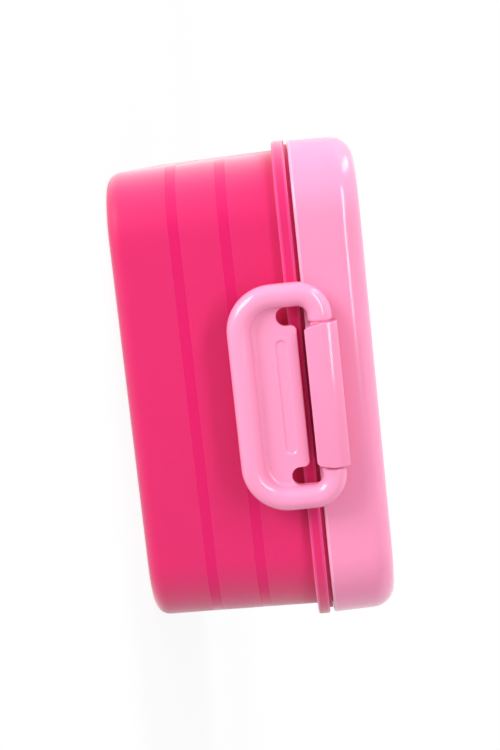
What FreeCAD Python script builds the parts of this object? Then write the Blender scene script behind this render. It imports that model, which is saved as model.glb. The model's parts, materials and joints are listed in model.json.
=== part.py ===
"""Clip-lid bobbin box: a drafted tub with a flange, a lift-off lid with a seal, two snap latches
hinged in hooks on the lid, and a lift-out rack of bobbins. Millimetres, +Z up, front end at -Y.
The origin is the centre of the base, on the surface that the box stands on."""

import FreeCAD
import Part
import math
import os

V = FreeCAD.Vector

# Tub
flange_width = 108.0
flange_length = 148.0
flange_corner_radius = 18.0
flange_overhang = 2.5
flange_thickness = 2.6
flange_edge_radius = 0.5
flange_height = 36.85
tub_draft_angle = 1.2
wall_thickness = 1.8
floor_thickness = 2.0
base_edge_radius = 3.0
floor_edge_radius = 3.0
foot_width = 3.0
foot_recess = 0.8
rim_edge_radius = 0.5
belt_heights = (13.1, 24.0)
belt_width = 2.5
belt_depth = 0.2

# Lid
lid_gap = 0.85
lid_height = 14.2
lid_clearance = 0.6
lid_draft_angle = 1.5
lid_edge_radius = 5.2
lid_hem_radius = 0.6
lid_wall = 1.8
lid_roof = 1.8
centring_rib_thickness = 1.3
centring_rib_depth = 1.0
centring_clearance = 0.4

# Seal between lid and tub rim
seal_height = 1.8
seal_roof = 3.1
seal_side_clearance = 0.15

# Latch and the hook that carries it
bead_diameter = 5.2
latch_length = 49.0
latch_drop = 17.3
latch_low_corner_radius = 7.4
latch_top_corner_radius = 4.7
latch_clearance = 0.4
pivot_diameter = 4.2
pivot_clearance = 0.08
pivot_above_hem = 3.2
plate_thickness = 2.0
plate_setback = 0.4
cove_radius = 1.2
tongue_gap = 1.58
tongue_corner_radius = 1.2
pocket_width = 4.0
pocket_depth = 4.1
thumb_groove_margin = 12.2
thumb_groove_width = 2.2
thumb_groove_depth = 0.35
thumb_groove_drop = 8.7
catch_margin = 4.5
catch_engagement = 0.9
catch_gap = 0.3
catch_slope_angle = 38.7
catch_lead_angle = 50.0
catch_tip_height = 0.9
hook_margin = 9.0
hook_end_gap = 0.35
hook_wall = 1.34
hook_crease_height = 1.35
hook_slope_setback = 0.75
hook_lip_radius = 0.9
hook_top_radius = 0.5
hook_end_chamfer = 1.2
hook_mouth_width = 3.4

# Bobbins
bobbin_diameter = 20.3
bobbin_width = 11.5
bobbin_bore = 6.1
bobbin_hub_diameter = 9.0
bobbin_flange_thickness = 1.1
bobbin_edge_radius = 0.3
bobbin_hole_diameter = 2.6
bobbin_hole_count = 6

# Rack that carries the bobbins, and the ribs in the tub that carry the rack
rack_thickness = 1.3
rack_lip_thickness = 1.4
rack_lip_clearance = 0.5
row_gap = 2.7
slot_divider = 1.2
bobbin_end_clearance = 0.4
bobbin_seat_clearance = 0.3
bobbin_headroom = 0.6
slot_depth = 7.0
rack_side_clearance = 0.6
trough_corner_margin = 1.2
support_rib_width = 2.0
support_rib_depth = 2.7
support_rib_inset = 28.0
grip_width = 24.0
grip_height = 10.0
grip_thickness = 1.6
grip_corner_radius = 4.0

# Sizes that follow from the ones above
root_half_x = flange_width / 2 - flange_overhang
root_half_y = flange_length / 2 - flange_overhang
root_corner = flange_corner_radius - flange_overhang
draft = math.tan(math.radians(tub_draft_angle))
flange_top = flange_height + flange_thickness
neck_half_x = root_half_x - wall_thickness
neck_half_y = root_half_y - wall_thickness
neck_corner = root_corner - wall_thickness

hem_height = flange_top + lid_gap
lid_top = hem_height + lid_height
lid_ceiling = lid_top - lid_roof
groove_ceiling = lid_top - seal_roof
neck_top = groove_ceiling - seal_height
lid_draft = math.tan(math.radians(lid_draft_angle))
lid_half_x = root_half_x + lid_clearance + lid_wall
lid_half_y = root_half_y + lid_clearance + lid_wall
lid_corner = root_corner + lid_clearance + lid_wall
rib_outer_x = neck_half_x - centring_clearance
rib_outer_y = neck_half_y - centring_clearance
rib_outer_corner = neck_corner - centring_clearance

bead_radius = bead_diameter / 2
pivot_radius = pivot_diameter / 2
bore_radius = pivot_radius + pivot_clearance
pivot_height = hem_height + pivot_above_hem
pivot_y = -(flange_length / 2 + latch_clearance + bead_radius)
plate_back_y = -(flange_length / 2 + latch_clearance + plate_setback)
plate_front_y = plate_back_y - plate_thickness
hook_radius = bore_radius + hook_wall
hook_length = latch_length - 2 * hook_margin
tongue_drop = hook_radius + tongue_gap
thumb_groove_length = latch_length - 2 * thumb_groove_margin
catch_length = hook_length - 2 * catch_margin
frame_half = latch_length / 2 - bead_radius
frame_low = pivot_height - latch_drop

bobbin_radius = bobbin_diameter / 2
seat_radius = bobbin_radius + bobbin_seat_clearance
trough_radius = seat_radius + rack_thickness
slot_length = bobbin_width + 2 * bobbin_end_clearance
bobbin_height = lid_ceiling - bobbin_headroom - bobbin_radius
lip_top = bobbin_height - seat_radius + slot_depth
lip_bottom = lip_top - rack_lip_thickness
rib_face_x = neck_half_x - support_rib_depth
rib_face_y = neck_half_y - support_rib_depth
rack_half_x = neck_half_x - rack_lip_clearance
rack_half_y = neck_half_y - rack_lip_clearance
rack_corner = neck_corner - rack_lip_clearance

# The outer troughs meet the lip's underside at trough_side, and stay inside its round corners.
trough_side = rib_face_x - rack_side_clearance
trough_reach = math.sqrt(trough_radius**2 - (bobbin_height - lip_bottom) ** 2)
row_room = trough_side - trough_reach
corner_reach = rack_corner - trough_corner_margin
corner_side = trough_side - rack_half_x + rack_corner
corner_room = rack_half_y - rack_corner + math.sqrt(corner_reach**2 - corner_side**2)
end_room = rib_face_y - rack_side_clearance - grip_thickness
trough_half_length = min(end_room, corner_room)
slot_room = trough_half_length - rack_thickness

# As many rows and slots as fit, spread evenly over their room
row_count = int(2 * row_room / (bobbin_diameter + row_gap)) + 1
slot_count = int((2 * slot_room + slot_divider) / (slot_length + slot_divider))
row_spacing = 2 * row_room / max(row_count - 1, 1)
slot_pitch = (2 * slot_room - slot_length) / max(slot_count - 1, 1)
row_places = [(i - (row_count - 1) / 2) * row_spacing for i in range(row_count)]
slot_places = [(i - (slot_count - 1) / 2) * slot_pitch for i in range(slot_count)]

# How far a cutting shape runs past the face that it cuts, and how close counts as the same place
past = 1.0
same = 0.001

along_x = V(1, 0, 0)
along_y = V(0, 1, 0)
up = V(0, 0, 1)


def rounded_rectangle(half_x, half_y, radius, height):
    """Outline of a rectangle with round corners, level at the given height."""
    inner_x, inner_y = half_x - radius, half_y - radius
    diagonal = radius * math.sqrt(0.5)
    edges = []
    for turn in range(4):
        sign_x, sign_y = ((1, 1), (-1, 1), (-1, -1), (1, -1))[turn]
        centre = V(sign_x * inner_x, sign_y * inner_y, height)
        on_x = centre + V(sign_x * radius, 0, 0)
        on_y = centre + V(0, sign_y * radius, 0)
        middle = centre + V(sign_x * diagonal, sign_y * diagonal, 0)
        first, last = (on_x, on_y) if turn % 2 == 0 else (on_y, on_x)
        if edges:
            edges.append(Part.LineSegment(end, first).toShape())
        else:
            start = first
        edges.append(Part.Arc(first, middle, last).toShape())
        end = last
    edges.append(Part.LineSegment(end, start).toShape())
    return Part.Wire(edges)


def block(half_x, half_y, radius, low, high):
    """Upright block with round corners."""
    face = Part.Face(rounded_rectangle(half_x, half_y, radius, low))
    return face.extrude(V(0, 0, high - low))


def drafted_block(half_x, half_y, radius, low, high, slope):
    """Block whose walls move outward by slope for each millimetre of height; the sizes are those at low."""
    spread = slope * (high - low)
    bottom = rounded_rectangle(half_x, half_y, radius, low)
    top = rounded_rectangle(half_x + spread, half_y + spread, radius + spread, high)
    return Part.makeLoft([bottom, top], True, True)


def level_edges(shape, height):
    """The edges of a shape that lie level at a height."""
    found = []
    for edge in shape.Edges:
        box = edge.BoundBox
        if abs(box.ZMin - height) < same and abs(box.ZMax - height) < same:
            found.append(edge)
    return found


def prism(points, direction):
    """A closed outline of straight edges, pushed along a direction."""
    return Part.Face(Part.makePolygon(points + points[:1])).extrude(direction)


def edges_through(shape, point):
    """The edges along X that pass through a point of their plane."""
    found = []
    for edge in shape.Edges:
        box = edge.BoundBox
        if box.XLength > same and abs(box.YMin - point.y) < same and abs(box.ZMin - point.z) < same:
            found.append(edge)
    return found


def tub_wall(inset, low, high):
    """The drafted space inside the tub's outer skin, moved inward by inset."""
    drop = draft * (flange_height - low)
    shrink = drop + inset
    return drafted_block(
        root_half_x - shrink, root_half_y - shrink, root_corner - shrink, low, high, draft
    )


def tub():
    """The open box: drafted walls, an outer flange, a straight neck that the lid slips over."""
    skin = tub_wall(0, 0, flange_height)
    skin = skin.makeFillet(base_edge_radius, level_edges(skin, 0))
    neck = block(root_half_x, root_half_y, root_corner, flange_height, neck_top)
    neck = neck.makeFillet(rim_edge_radius, level_edges(neck, neck_top))
    outside = skin.fuse(neck)
    hollow = tub_wall(wall_thickness, floor_thickness, flange_height)
    hollow = hollow.makeFillet(floor_edge_radius, level_edges(hollow, floor_thickness))
    throat = block(neck_half_x, neck_half_y, neck_corner, flange_height, neck_top + past)
    flange = block(flange_width / 2, flange_length / 2, flange_corner_radius, flange_height, flange_top)
    flange_edges = level_edges(flange, flange_height) + level_edges(flange, flange_top)
    flange = flange.makeFillet(flange_edge_radius, flange_edges)
    body = outside.fuse(flange).cut(hollow.fuse(throat))
    body = body.fuse([rib.common(outside) for rib in support_ribs()])
    for height in belt_heights:
        body = body.cut(belt(height))
    foot = tub_wall(base_edge_radius + foot_width, 0, foot_recess)
    return body.cut(foot).removeSplitter()


def belt(height):
    """The ring of material taken off the tub to leave a shallow band round it."""
    band = block(flange_width / 2, flange_length / 2, flange_corner_radius, height, height + belt_width)
    return band.cut(tub_wall(belt_depth, height, height + belt_width))


def support_ribs():
    """Upright ribs on the inside of the walls, two to a side, whose tops carry the rack."""
    ribs = []
    half_width = support_rib_width / 2
    places_x = root_half_x - root_corner - support_rib_inset / 2
    places_y = root_half_y - support_rib_inset
    tall = lip_bottom - floor_thickness / 2
    for side in (-1, 1):
        for y in (-places_y, places_y):
            near, far = sorted((side * rib_face_x, side * root_half_x))
            corner = V(near, y - half_width, floor_thickness / 2)
            ribs.append(Part.makeBox(far - near, support_rib_width, tall, corner))
        for x in (-places_x, places_x):
            near, far = sorted((side * rib_face_y, side * root_half_y))
            corner = V(x - half_width, near, floor_thickness / 2)
            ribs.append(Part.makeBox(support_rib_width, far - near, tall, corner))
    return ribs


def lid():
    """The cap: a drafted shell with a groove for the seal, a centring rib and a hook at each end."""
    shell = drafted_block(lid_half_x, lid_half_y, lid_corner, hem_height, lid_top, -lid_draft)
    shell = shell.makeFillet(lid_edge_radius, level_edges(shell, lid_top))
    shell = shell.makeFillet(lid_hem_radius, level_edges(shell, hem_height))
    inside = drafted_block(
        lid_half_x - lid_wall, lid_half_y - lid_wall, lid_corner - lid_wall,
        hem_height, groove_ceiling, -lid_draft,
    )
    rib_low = neck_top - centring_rib_depth
    rib = block(rib_outer_x, rib_outer_y, rib_outer_corner, rib_low, groove_ceiling + lid_roof / 2)
    thick = centring_rib_thickness
    core = block(rib_outer_x - thick, rib_outer_y - thick, rib_outer_corner - thick, rib_low, lid_ceiling)
    front_hook = hook()
    rear_hook = turned(front_hook)
    return shell.cut(inside).fuse(rib).cut(core).fuse([front_hook, rear_hook]).removeSplitter()


def turned(shape):
    """The same shape at the other end of the box."""
    copy = shape.copy()
    copy.rotate(V(0, 0, 0), up, 180)
    return copy


def hook():
    """Channel on the front of the lid that wraps the latch's pivot, with a snap-in mouth below.
    Its front is flat up to a crease and leans back to the lid above it."""
    front = pivot_y - hook_radius
    root = -(lid_half_y - lid_wall / 2)
    low, high = pivot_height - hook_radius, pivot_height + hook_radius
    end = -hook_length / 2
    lip = V(end, front, low)
    brow = V(end, front + hook_slope_setback, high)
    crease = V(end, front, pivot_height + hook_crease_height)
    body = prism([V(end, root, low), lip, crease, brow, V(end, root, high)], V(hook_length, 0, 0))
    body = body.makeFillet(hook_lip_radius, edges_through(body, lip))
    body = body.makeFillet(hook_top_radius, edges_through(body, brow))
    start, long = -hook_length / 2 - past, hook_length + 2 * past
    bore = Part.makeCylinder(bore_radius, long, V(start, pivot_y, pivot_height), along_x)
    mouth_corner = V(start, pivot_y - hook_mouth_width / 2, low - past)
    mouth = Part.makeBox(long, hook_mouth_width, pivot_height - low + past, mouth_corner)
    back_corner = V(start, pivot_y, low - past)
    back = Part.makeBox(long, root - pivot_y + past, hem_height - low + past, back_corner)
    body = body.cut([bore, mouth, back])
    for side in (-1, 1):
        end = side * hook_length / 2
        inward = -side * hook_end_chamfer
        corner = [
            V(end, front - past, low),
            V(end + inward, front - past, low),
            V(end, front - past, low + hook_end_chamfer),
        ]
        body = body.cut(prism(corner, V(0, root - front + 2 * past, 0)))
    return body


def lid_seal():
    """Soft ring in the lid's groove that sits on the tub's rim."""
    shrink = lid_wall + lid_draft * (groove_ceiling - hem_height) + seal_side_clearance
    outer = block(
        lid_half_x - shrink, lid_half_y - shrink, lid_corner - shrink, neck_top, groove_ceiling
    )
    grow = seal_side_clearance
    inner = block(
        rib_outer_x + grow, rib_outer_y + grow, rib_outer_corner + grow, neck_top, groove_ceiling
    )
    return outer.cut(inner)


def frame_half_path(inset):
    """Half of the latch's outline, from its top middle round one side to its bottom middle.
    At no inset it is the centre line of the bead; an inset moves it inward."""
    top, low, half = pivot_height - inset, frame_low + inset, frame_half - inset
    small, large = latch_top_corner_radius - inset, latch_low_corner_radius - inset
    bend = 1 - math.sqrt(0.5)

    def at(x, z):
        return V(x, pivot_y, z)

    top_corner = (at(half - small, top), at(half - small * bend, top - small * bend), at(half, top - small))
    low_corner = (at(half, low + large), at(half - large * bend, low + large * bend), at(half - large, low))
    edges = [
        Part.LineSegment(at(0, top), top_corner[0]).toShape(),
        Part.Arc(*top_corner).toShape(),
        Part.LineSegment(top_corner[2], low_corner[0]).toShape(),
        Part.Arc(*low_corner).toShape(),
        Part.LineSegment(low_corner[2], at(0, low)).toShape(),
    ]
    return Part.Wire(edges)


def frame_prism(inset, back, front):
    """The area inside the latch's outline, as a slab between two distances in front of the box."""
    half = frame_half_path(inset)
    other = half.mirror(V(0, 0, 0), along_x)
    outline = Part.Wire(Part.sortEdges(half.Edges + other.Edges)[0])
    slab = Part.Face(outline).extrude(V(0, front - back, 0))
    slab.translate(V(0, back - pivot_y, 0))
    return slab


def window():
    """What is cut out of the web to free the tongue: a slot below the pivot and a round-ended pocket
    at each end of it, all within the bead."""
    tongue_top = pivot_height - tongue_drop
    pocket_outer = frame_half - bead_radius
    slot = Part.makeBox(
        2 * pocket_outer, bead_diameter, tongue_drop,
        V(-pocket_outer, pivot_y - bead_radius, tongue_top),
    )
    round_radius = pocket_width / 2
    round_height = tongue_top - pocket_depth + round_radius
    pockets = []
    for side in (-1, 1):
        x = side * (pocket_outer - round_radius)
        start = V(x, pivot_y - bead_radius, round_height)
        pockets.append(Part.makeCylinder(round_radius, bead_diameter, start, along_y))
        corner = V(x - round_radius, pivot_y - bead_radius, round_height)
        pockets.append(Part.makeBox(pocket_width, bead_diameter, tongue_top - round_height, corner))
    opening = slot.fuse(pockets).removeSplitter()
    tongue_half = pocket_outer - pocket_width
    corners = [
        edge for edge in opening.Edges
        if abs(abs(edge.CenterOfMass.x) - tongue_half) < same and abs(edge.CenterOfMass.z - tongue_top) < same
    ]
    opening = opening.makeFillet(tongue_corner_radius, corners)
    inside = frame_prism(bead_radius, pivot_y + bead_radius, pivot_y - bead_radius)
    return opening.common(inside)


def thumb_groove():
    """Shallow round-ended groove across the tongue's face."""
    radius = thumb_groove_width / 2
    half = thumb_groove_length / 2 - radius
    z = pivot_height - thumb_groove_drop
    start = plate_front_y - thumb_groove_depth
    ends = [
        Part.makeCylinder(radius, 2 * thumb_groove_depth, V(x, start, z), along_y) for x in (-half, half)
    ]
    middle = Part.makeBox(2 * half, 2 * thumb_groove_depth, thumb_groove_width, V(-half, start, z - radius))
    return middle.fuse(ends)


def catch():
    """Wedge behind the tongue that holds under the flange; its upper face slopes so that it releases."""
    flange_edge = -flange_length / 2
    slope = math.tan(math.radians(catch_slope_angle))
    lead = math.tan(math.radians(catch_lead_angle))
    tip = flange_edge + catch_engagement
    root = plate_back_y - plate_thickness / 4
    at_edge = flange_height - catch_gap
    tip_top = at_edge - slope * catch_engagement
    tip_low = tip_top - catch_tip_height
    profile = [
        V(-catch_length / 2, root, at_edge + slope * (flange_edge - root)),
        V(-catch_length / 2, tip, tip_top),
        V(-catch_length / 2, tip, tip_low),
        V(-catch_length / 2, root, tip_low - lead * (tip - root)),
    ]
    return prism(profile, V(catch_length, 0, 0))


def latch():
    """The front latch in one moulding: a bead bent into a frame, with pivot, web, tongue and catch."""
    half = frame_half_path(0)
    section = Part.Wire(Part.makeCircle(bead_radius, half.Edges[0].Vertexes[0].Point, along_x))
    bead = half.makePipeShell([section], True, False)
    bead = bead.fuse(bead.mirror(V(0, 0, 0), along_x))
    body = bead.fuse(frame_prism(0, plate_back_y, plate_front_y)).removeSplitter()
    body = body.makeFillet(cove_radius, flat_edges(body, plate_front_y))
    reach = hook_length / 2 + hook_end_gap
    hook_room = Part.makeBox(
        2 * reach, bead_diameter + 2 * past, bead_radius + tongue_drop + past,
        V(-reach, pivot_y - bead_radius - past, pivot_height - tongue_drop),
    )
    body = body.cut([window(), hook_room, thumb_groove()])
    reach = reach + bead_radius
    pivot = Part.makeCylinder(pivot_radius, 2 * reach, V(-reach, pivot_y, pivot_height), along_x)
    return body.fuse([pivot, catch()]).removeSplitter()


def flat_edges(shape, y):
    """The edges of a shape that lie in an upright plane across the box."""
    found = []
    for edge in shape.Edges:
        box = edge.BoundBox
        if abs(box.YMin - y) < same and abs(box.YMax - y) < same:
            found.append(edge)
    return found


def bobbin(place_x, place_y):
    """Two round flanges on a hub, bored for a spindle, with a ring of holes in each flange."""
    half = bobbin_width / 2
    outer, hub, bore = bobbin_radius, bobbin_hub_diameter / 2, bobbin_bore / 2
    web = half - bobbin_flange_thickness
    profile = [
        V(bore, -half, 0), V(outer, -half, 0), V(outer, -web, 0), V(hub, -web, 0),
        V(hub, web, 0), V(outer, web, 0), V(outer, half, 0), V(bore, half, 0),
    ]
    face = Part.Face(Part.makePolygon(profile + profile[:1]))
    spool = face.revolve(V(0, 0, 0), along_y, 360)
    rims = [
        edge for edge in spool.Edges
        if isinstance(edge.Curve, Part.Circle) and abs(edge.Curve.Radius - outer) < same
    ]
    spool = spool.makeFillet(bobbin_edge_radius, rims)
    for i in range(bobbin_hole_count):
        angle = 2 * math.pi * i / bobbin_hole_count
        reach = (outer + hub) / 2
        hole_at = V(reach * math.cos(angle), -half - past, reach * math.sin(angle))
        hole = Part.makeCylinder(bobbin_hole_diameter / 2, bobbin_width + 2 * past, hole_at, along_y)
        spool = spool.cut(hole)
    spool.translate(V(place_x, place_y, bobbin_height))
    return spool


def bobbin_rack():
    """Lift-out tray: round troughs divided into slots, a lip that rests on the tub's ribs, two grips."""
    lip = block(rack_half_x, rack_half_y, rack_corner, lip_bottom, lip_top)
    below = Part.makeBox(
        flange_width, flange_length, trough_radius + past,
        V(-flange_width / 2, -flange_length / 2, lip_top - trough_radius - past),
    )
    troughs = []
    for x in row_places:
        start = V(x, -trough_half_length, bobbin_height)
        trough = Part.makeCylinder(trough_radius, 2 * trough_half_length, start, along_y)
        troughs.append(trough.common(below))
    tray = lip.fuse(troughs)
    slots = []
    for x in row_places:
        for y in slot_places:
            start = V(x, y - slot_length / 2, bobbin_height)
            slots.append(Part.makeCylinder(seat_radius, slot_length, start, along_y))
    tray = tray.cut(slots)
    return tray.fuse([grip(-1), grip(1)]).removeSplitter()


def grip(side):
    """Upright tab with round top corners at one end of the rack's lip."""
    centre_y = side * (trough_half_length + grip_thickness / 2)
    tab = Part.makeBox(
        grip_width, grip_thickness, grip_height + rack_lip_thickness / 2,
        V(-grip_width / 2, centre_y - grip_thickness / 2, lip_top - rack_lip_thickness / 2),
    )
    top = lip_top + grip_height
    corners = [
        edge for edge in tab.Edges
        if edge.BoundBox.YLength > grip_thickness / 2 and abs(edge.CenterOfMass.z - top) < same
    ]
    return tab.makeFillet(grip_corner_radius, corners)


def pieces():
    """Every separate piece of the box, by name."""
    front = latch()
    made = {
        "tub": tub(),
        "lid": lid(),
        "lid_seal": lid_seal(),
        "latch_front": front,
        "latch_rear": turned(front),
        "bobbin_rack": bobbin_rack(),
    }
    for row, x in enumerate(row_places):
        for slot, y in enumerate(slot_places):
            made["bobbin_%s%d" % (chr(ord("a") + row), slot + 1)] = bobbin(x, y)
    return made


os.makedirs("parts", exist_ok=True)
for name, shape in pieces().items():
    print(name, shape.ShapeType, len(shape.Solids), shape.isValid(), round(shape.Volume, 1))
    shape.exportStep("parts/%s.step" % name)
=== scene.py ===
"""Looks of a clip-lid bobbin box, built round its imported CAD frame: a satin tub, a glossy lid with a
snap latch at each end, a soft seal, and a lift-out rack of bobbins. Sizes are in millimetres and go
into the meshes in metres."""

import bmesh
import bpy
import json
import math
import numpy as np
from mathutils import Matrix, Vector


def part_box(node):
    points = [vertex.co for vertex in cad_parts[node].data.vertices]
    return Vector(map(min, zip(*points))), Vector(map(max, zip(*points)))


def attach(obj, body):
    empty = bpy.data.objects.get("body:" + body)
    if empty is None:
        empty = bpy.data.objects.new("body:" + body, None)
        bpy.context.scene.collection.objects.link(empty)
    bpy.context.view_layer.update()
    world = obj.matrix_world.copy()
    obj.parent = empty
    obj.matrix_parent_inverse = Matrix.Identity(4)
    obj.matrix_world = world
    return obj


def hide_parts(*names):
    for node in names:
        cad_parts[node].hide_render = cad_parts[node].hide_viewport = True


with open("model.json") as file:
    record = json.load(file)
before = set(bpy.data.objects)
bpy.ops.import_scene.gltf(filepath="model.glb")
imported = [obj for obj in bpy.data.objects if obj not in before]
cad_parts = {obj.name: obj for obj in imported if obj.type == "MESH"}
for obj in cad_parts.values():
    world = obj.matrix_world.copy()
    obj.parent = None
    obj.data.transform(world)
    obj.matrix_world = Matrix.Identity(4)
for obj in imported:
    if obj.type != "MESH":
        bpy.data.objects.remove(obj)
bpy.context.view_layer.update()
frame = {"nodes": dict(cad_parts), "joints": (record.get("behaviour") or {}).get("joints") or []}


# Tub: one injection moulding in hot-pink polypropylene, satin outside with two polished bands. Its
# walls lean out by the mould's draft to a flange with a low ledge under the lid's hem, and end in a
# straight neck that takes the lid. Eight ribs inside, moulded with the walls, carry the rack.
def corners_of(node):
    """A node's lowest and highest corner in the frame, in millimetres."""
    return [1000 * np.array(corner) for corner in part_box(node)]


FLANGE_HALF_X, FLANGE_HALF_Y, NECK_TOP = corners_of("tub")[1]
FLANGE_CORNER, FLANGE_EDGE, FLANGE_ROOT = 18.0, 0.5, 0.3
FLANGE_LOW, FLANGE_TOP, OVERHANG = 36.85, 39.45, 2.5
LEDGE_INSET, LEDGE_TOP, LEDGE_EDGE = 1.25, 40.2, 0.1
WALL, FLOOR, FLOOR_EDGE, FILL_CORNER = 1.8, 2.0, 3.0, 0.5
RIM_EDGE, RIM_INNER_EDGE, NECK_BEND = 0.5, 0.3, 1.0
BASE_EDGE, FOOT_WIDTH, FOOT_RECESS, FOOT_EDGE, FOOT_ROOT = 3.0, 3.0, 0.8, 0.25, 0.2
TUB_DRAFT = math.tan(math.radians(1.2))
BELTS, BELT_WIDTH, BELT_EDGE, BELT_DEPTH = (13.1, 24.0), 2.5, 0.1, 0.004
BELT_ROUGH, BELT_HAZE = 0.25, 0.55
SUPPORT_TOP, SUPPORT_WIDTH, SUPPORT_DEPTH, SUPPORT_SUNK = 37.1, 2.0, 2.7, 0.1
SUPPORT_X, SUPPORT_Y, SUPPORT_EDGE, SUPPORT_ROLL = 22.0, 43.5, 0.4, 0.3


def rounded(corners, steps=7, beyond=0.2):
    """An outline through corners given as rows of (across, height, radius). Each corner with a radius
    becomes an arc about the point where the two lines set in by that radius meet, sampled at even
    angles between its two tangent points, and beyond them on the lines by a share of the radius.
    Also gives 1 on the arcs of left-hand corners, -1 on right-hand ones and 0 between."""
    corners = np.array(corners, float)
    at, radius = corners[:, :2], corners[:, 2:]
    back = np.roll(at, 1, 0) - at
    on = np.roll(at, -1, 0) - at
    back = back / np.linalg.norm(back, axis=1, keepdims=True)
    on = on / np.linalg.norm(on, axis=1, keepdims=True)
    half = np.arccos(np.clip((back * on).sum(1, keepdims=True), -1, 1)) / 2
    reach = radius / np.tan(half)
    middle = back + on
    centre = at + middle / np.linalg.norm(middle, axis=1, keepdims=True) * radius / np.sin(half)
    sweep = np.pi - 2 * half
    share = np.linspace(0, 1, steps)
    arm_a, arm_b = at + back * reach - centre, at + on * reach - centre
    turned = np.maximum(np.sin(sweep), 1e-9)
    near = np.sin((1 - share) * sweep) / turned
    far = np.sin(share * sweep) / turned
    arc = centre[:, None] + near[..., None] * arm_a[:, None] + far[..., None] * arm_b[:, None]
    before = at + back * (reach + beyond * radius)
    after = at + on * (reach + beyond * radius)
    points = np.concatenate([before[:, None], arc, after[:, None]], 1)
    side = np.sign(on[:, 0] * back[:, 1] - on[:, 1] * back[:, 0])
    bend = np.zeros(points.shape[:2])
    bend[:, 1:-1] = side[:, None] * (radius > 0)
    points, bend = points.reshape(-1, 2), bend.ravel()
    moved = np.linalg.norm(points - np.roll(points, 1, 0), axis=1) > 1e-6
    return points[moved], bend[moved]


def inset_outline(corners, steps=7):
    """The same for corners given as (inset, height, radius): an inset is measured to the left."""
    points, bend = rounded([(-inset, height, radius) for inset, height, radius in corners], steps)
    return points * (-1, 1), bend


def round_path(half_x, half_y, corner, steps=22):
    """A rectangle with round corners, walked leftwards: the centre that each point of it turns about
    and its outward direction, so that a point set in by d lies at centre + (corner - d) * direction."""
    quarter = np.arange(4)
    signs = np.array([(1, 1), (-1, 1), (-1, -1), (1, -1)], float)
    centres = signs * (half_x - corner, half_y - corner)
    angle = (quarter[:, None] + np.linspace(0, 1, steps)) * math.pi / 2
    arc_out = np.stack([np.cos(angle), np.sin(angle)], 2)
    arc_centre = np.repeat(centres[:, None], steps, 1)
    along = np.array([0.02, 0.1, 0.25, 0.4, 0.5, 0.6, 0.75, 0.9, 0.98])[None, :, None]
    run_centre = centres[:, None] * (1 - along) + np.roll(centres, -1, 0)[:, None] * along
    run_out = np.repeat(arc_out[:, -1:], along.size, 1)
    centre = np.concatenate([arc_centre, run_centre], 1).reshape(-1, 2)
    out = np.concatenate([arc_out, run_out], 1).reshape(-1, 2)
    return centre, out


def carried_round(outline, path, corner):
    """An outline of (inset, height) carried round a path: at each path point it stands in the upright
    plane through that point's centre and outward direction. Rows follow the outline."""
    centre, out = path
    flat = centre[None] + (corner - outline[:, 0])[:, None, None] * out[None]
    height = np.repeat(outline[:, 1][:, None, None], len(centre), 1)
    return np.concatenate([flat, height], 2)


def slab(outline, half, roll, steps=5):
    """A closed outline carried square to its plane from -half to half, with both rims rolled over: near
    an end it is set in along its own normals as a quarter circle of radius roll. Rows go through the
    thickness, and the last axis holds the outline's two numbers and the place through the thickness."""
    run = np.roll(outline, -1, 0) - np.roll(outline, 1, 0)
    normal = np.stack([run[:, 1], -run[:, 0]], 1)
    normal = normal / np.linalg.norm(normal, axis=1, keepdims=True)
    turn = np.linspace(0, math.pi / 2, steps)
    inset = roll * (1 - np.cos(turn))
    through = half - roll + roll * np.sin(turn)
    inset = np.concatenate([inset[::-1], inset])
    through = np.concatenate([-through[::-1], through])
    flat = outline[None] - inset[:, None, None] * normal[None]
    return np.concatenate([flat, np.broadcast_to(through[:, None, None], (*flat.shape[:2], 1))], 2)


def grid_faces(rows, columns, wrap_rows, wrap_columns):
    """The quads of a grid of points that are numbered row by row."""
    row = np.arange(rows if wrap_rows else rows - 1)[:, None]
    column = np.arange(columns if wrap_columns else columns - 1)[None, :]
    next_row, next_column = (row + 1) % rows, (column + 1) % columns
    corners = (
        row * columns + column, row * columns + next_column,
        next_row * columns + next_column, next_row * columns + column,
    )
    return np.stack(corners, 2).reshape(-1, 4)


def joined_mesh(name, skins):
    """One mesh from several skins. A skin is a grid of points in millimetres, whether its rows and its
    columns close on themselves, whether its first and last rows are filled, and the values of its
    attributes at each point."""
    points, faces, values, count = [], [], {}, 0
    for skin in skins:
        grid = skin["grid"]
        rows, columns = grid.shape[:2]
        quads = grid_faces(rows, columns, skin.get("wrap_rows", False), skin.get("wrap_columns", True))
        faces += (quads + count).tolist()
        if skin.get("fill", False):
            faces.append((count + np.arange(columns)[::-1]).tolist())
            faces.append((count + (rows - 1) * columns + np.arange(columns)).tolist())
        points.append(grid.reshape(-1, 3))
        for key, value in skin.get("values", {}).items():
            values.setdefault(key, []).append((count, np.broadcast_to(value, (rows, columns)).ravel()))
        count += rows * columns
    mesh = bpy.data.meshes.new(name)
    mesh.from_pydata(np.concatenate(points) * 0.001, [], faces)
    for key, parts in values.items():
        whole = np.zeros(count, np.float32)
        for start, value in parts:
            whole[start:start + value.size] = value
        mesh.attributes.new(key, "FLOAT", "POINT").data.foreach_set("value", whole)
    joined = bmesh.new()
    joined.from_mesh(mesh)
    bmesh.ops.remove_doubles(joined, verts=joined.verts, dist=1e-6)
    bmesh.ops.recalc_face_normals(joined, faces=joined.faces)
    joined.to_mesh(mesh)
    joined.free()
    mesh.shade_smooth()
    return mesh


def piece(mesh, material, body, replaced=()):
    """An object for a mesh, riding on a body, with its finish and the nodes that it stands for."""
    mesh.materials.append(material)
    made = bpy.data.objects.new(mesh.name, mesh)
    bpy.context.scene.collection.objects.link(made)
    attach(made, body)
    if replaced:
        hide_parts(*replaced)
    return made


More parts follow.
